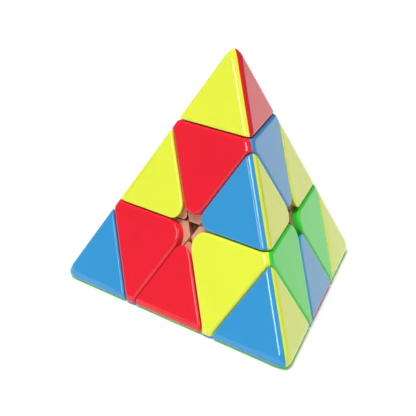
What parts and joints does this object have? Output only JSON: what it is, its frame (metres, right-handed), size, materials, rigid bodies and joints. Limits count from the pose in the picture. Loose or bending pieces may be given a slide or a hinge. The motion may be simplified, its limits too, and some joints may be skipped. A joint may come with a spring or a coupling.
{
  "type": "pyramid twisty puzzle",
  "caption": "Pyramid twisty puzzle: corner layers and small corner tips turn about a sprung inner core, with glossy coloured tiles on tan moulded bodies.",
  "frame": {"origin": "centre of the core, where the four turning axes meet", "axes": "+Z through the top corner, -Z out of the bottom face it rests on, -Y toward the front corner's side, +X toward the right corner's side"},
  "size_m": [0.0988, 0.0858, 0.0807],
  "materials": {
    "tile_yellow": "glossy moulded ABS, bright yellow",
    "tile_red": "glossy moulded ABS, bright red",
    "tile_blue": "glossy moulded ABS, sky blue",
    "tile_green": "glossy moulded ABS, bright green",
    "inner_tan": "satin moulded ABS, tan",
    "core_grey": "satin moulded nylon, light grey",
    "screw_steel": "zinc-plated steel",
    "spring_steel": "drawn spring steel wire"
  },
  "bodies": {
    "core": {"core": "core_grey", "core_screws": "screw_steel", "spring_washers": "screw_steel", "spring_top": "spring_steel", "spring_left": "spring_steel", "spring_front": "spring_steel", "spring_right": "spring_steel"},
    "axial_top": {"axial_top_base": "inner_tan", "axial_top_tile_right": "tile_blue", "axial_top_tile_back": "tile_yellow", "axial_top_tile_left": "tile_red"},
    "tip_top": {"tip_top_base": "inner_tan", "tip_top_tile_right": "tile_red", "tip_top_tile_back": "tile_blue", "tip_top_tile_left": "tile_yellow"},
    "axial_left": {"axial_left_base": "inner_tan", "axial_left_tile_bottom": "tile_blue", "axial_left_tile_back": "tile_green", "axial_left_tile_left": "tile_red"},
    "tip_left": {"tip_left_base": "inner_tan", "tip_left_tile_bottom": "tile_green", "tip_left_tile_back": "tile_red", "tip_left_tile_left": "tile_blue"},
    "axial_front": {"axial_front_base": "inner_tan", "axial_front_tile_bottom": "tile_blue", "axial_front_tile_right": "tile_green", "axial_front_tile_left": "tile_yellow"},
    "tip_front": {"tip_front_base": "inner_tan", "tip_front_tile_bottom": "tile_green", "tip_front_tile_right": "tile_yellow", "tip_front_tile_left": "tile_blue"},
    "axial_right": {"axial_right_base": "inner_tan", "axial_right_tile_bottom": "tile_red", "axial_right_tile_right": "tile_green", "axial_right_tile_back": "tile_yellow"},
    "tip_right": {"tip_right_base": "inner_tan", "tip_right_tile_bottom": "tile_green", "tip_right_tile_right": "tile_yellow", "tip_right_tile_back": "tile_red"},
    "edge_top_left": {"edge_top_left_base": "inner_tan", "edge_top_left_tile_back": "tile_green", "edge_top_left_tile_left": "tile_yellow"},
    "edge_top_front": {"edge_top_front_base": "inner_tan", "edge_top_front_tile_right": "tile_yellow", "edge_top_front_tile_left": "tile_blue"},
    "edge_top_right": {"edge_top_right_base": "inner_tan", "edge_top_right_tile_right": "tile_yellow", "edge_top_right_tile_back": "tile_red"},
    "edge_left_front": {"edge_left_front_base": "inner_tan", "edge_left_front_tile_bottom": "tile_green", "edge_left_front_tile_left": "tile_red"},
    "edge_front_right": {"edge_front_right_base": "inner_tan", "edge_front_right_tile_bottom": "tile_red", "edge_front_right_tile_right": "tile_blue"},
    "edge_left_right": {"edge_left_right_base": "inner_tan", "edge_left_right_tile_bottom": "tile_green", "edge_left_right_tile_back": "tile_blue"}
  },
  "joints": [
    {"name": "layer_top", "type": "hinge", "parent": "core", "child": "axial_top", "pos_m": [0, 0, 0], "axis": [0, 0, 1], "range_deg": [-240, 120]},
    {"name": "layer_left", "type": "hinge", "parent": "core", "child": "axial_left", "pos_m": [0, 0, 0], "axis": [-0.8165, 0.4714, -0.3333], "range_deg": [-240, 120]},
    {"name": "layer_front", "type": "hinge", "parent": "core", "child": "axial_front", "pos_m": [0, 0, 0], "axis": [0, -0.9428, -0.3333], "range_deg": [-240, 120]},
    {"name": "layer_right", "type": "hinge", "parent": "core", "child": "axial_right", "pos_m": [0, 0, 0], "axis": [0.8165, 0.4714, -0.3333], "range_deg": [-240, 120]},
    {"name": "turn_tip_top", "type": "hinge", "parent": "axial_top", "child": "tip_top", "pos_m": [0, 0, 0.038], "axis": [0, 0, 1], "continuous": true},
    {"name": "turn_tip_left", "type": "hinge", "parent": "axial_left", "child": "tip_left", "pos_m": [-0.03103, 0.01791, -0.01267], "axis": [-0.8165, 0.4714, -0.3333], "continuous": true},
    {"name": "turn_tip_front", "type": "hinge", "parent": "axial_front", "child": "tip_front", "pos_m": [0, -0.03583, -0.01267], "axis": [0, -0.9428, -0.3333], "continuous": true},
    {"name": "turn_tip_right", "type": "hinge", "parent": "axial_right", "child": "tip_right", "pos_m": [0.03103, 0.01791, -0.01267], "axis": [0.8165, 0.4714, -0.3333], "continuous": true},
    {"name": "carry_edge_top_left", "type": "hinge", "parent": "axial_top", "child": "edge_top_left", "pos_m": [0, 0, 0], "axis": [-0.8165, 0.4714, -0.3333], "range_deg": [-240, 120]},
    {"name": "carry_edge_top_front", "type": "hinge", "parent": "axial_top", "child": "edge_top_front", "pos_m": [0, 0, 0], "axis": [0, -0.9428, -0.3333], "range_deg": [-240, 120]},
    {"name": "carry_edge_top_right", "type": "hinge", "parent": "axial_top", "child": "edge_top_right", "pos_m": [0, 0, 0], "axis": [0.8165, 0.4714, -0.3333], "range_deg": [-240, 120]},
    {"name": "carry_edge_left_front", "type": "hinge", "parent": "axial_left", "child": "edge_left_front", "pos_m": [0, 0, 0], "axis": [0, -0.9428, -0.3333], "range_deg": [-240, 120]},
    {"name": "carry_edge_front_right", "type": "hinge", "parent": "axial_front", "child": "edge_front_right", "pos_m": [0, 0, 0], "axis": [0.8165, 0.4714, -0.3333], "range_deg": [-240, 120]},
    {"name": "carry_edge_left_right", "type": "hinge", "parent": "axial_right", "child": "edge_left_right", "pos_m": [0, 0, 0], "axis": [-0.8165, 0.4714, -0.3333], "range_deg": [-240, 120]}
  ],
  "couplings": [
    {"joint": "carry_edge_top_left", "follows": "layer_left", "ratio": 1},
    {"joint": "carry_edge_top_front", "follows": "layer_front", "ratio": 1},
    {"joint": "carry_edge_top_right", "follows": "layer_right", "ratio": 1},
    {"joint": "carry_edge_left_front", "follows": "layer_front", "ratio": 1},
    {"joint": "carry_edge_front_right", "follows": "layer_right", "ratio": 1},
    {"joint": "carry_edge_left_right", "follows": "layer_left", "ratio": 1}
  ]
}
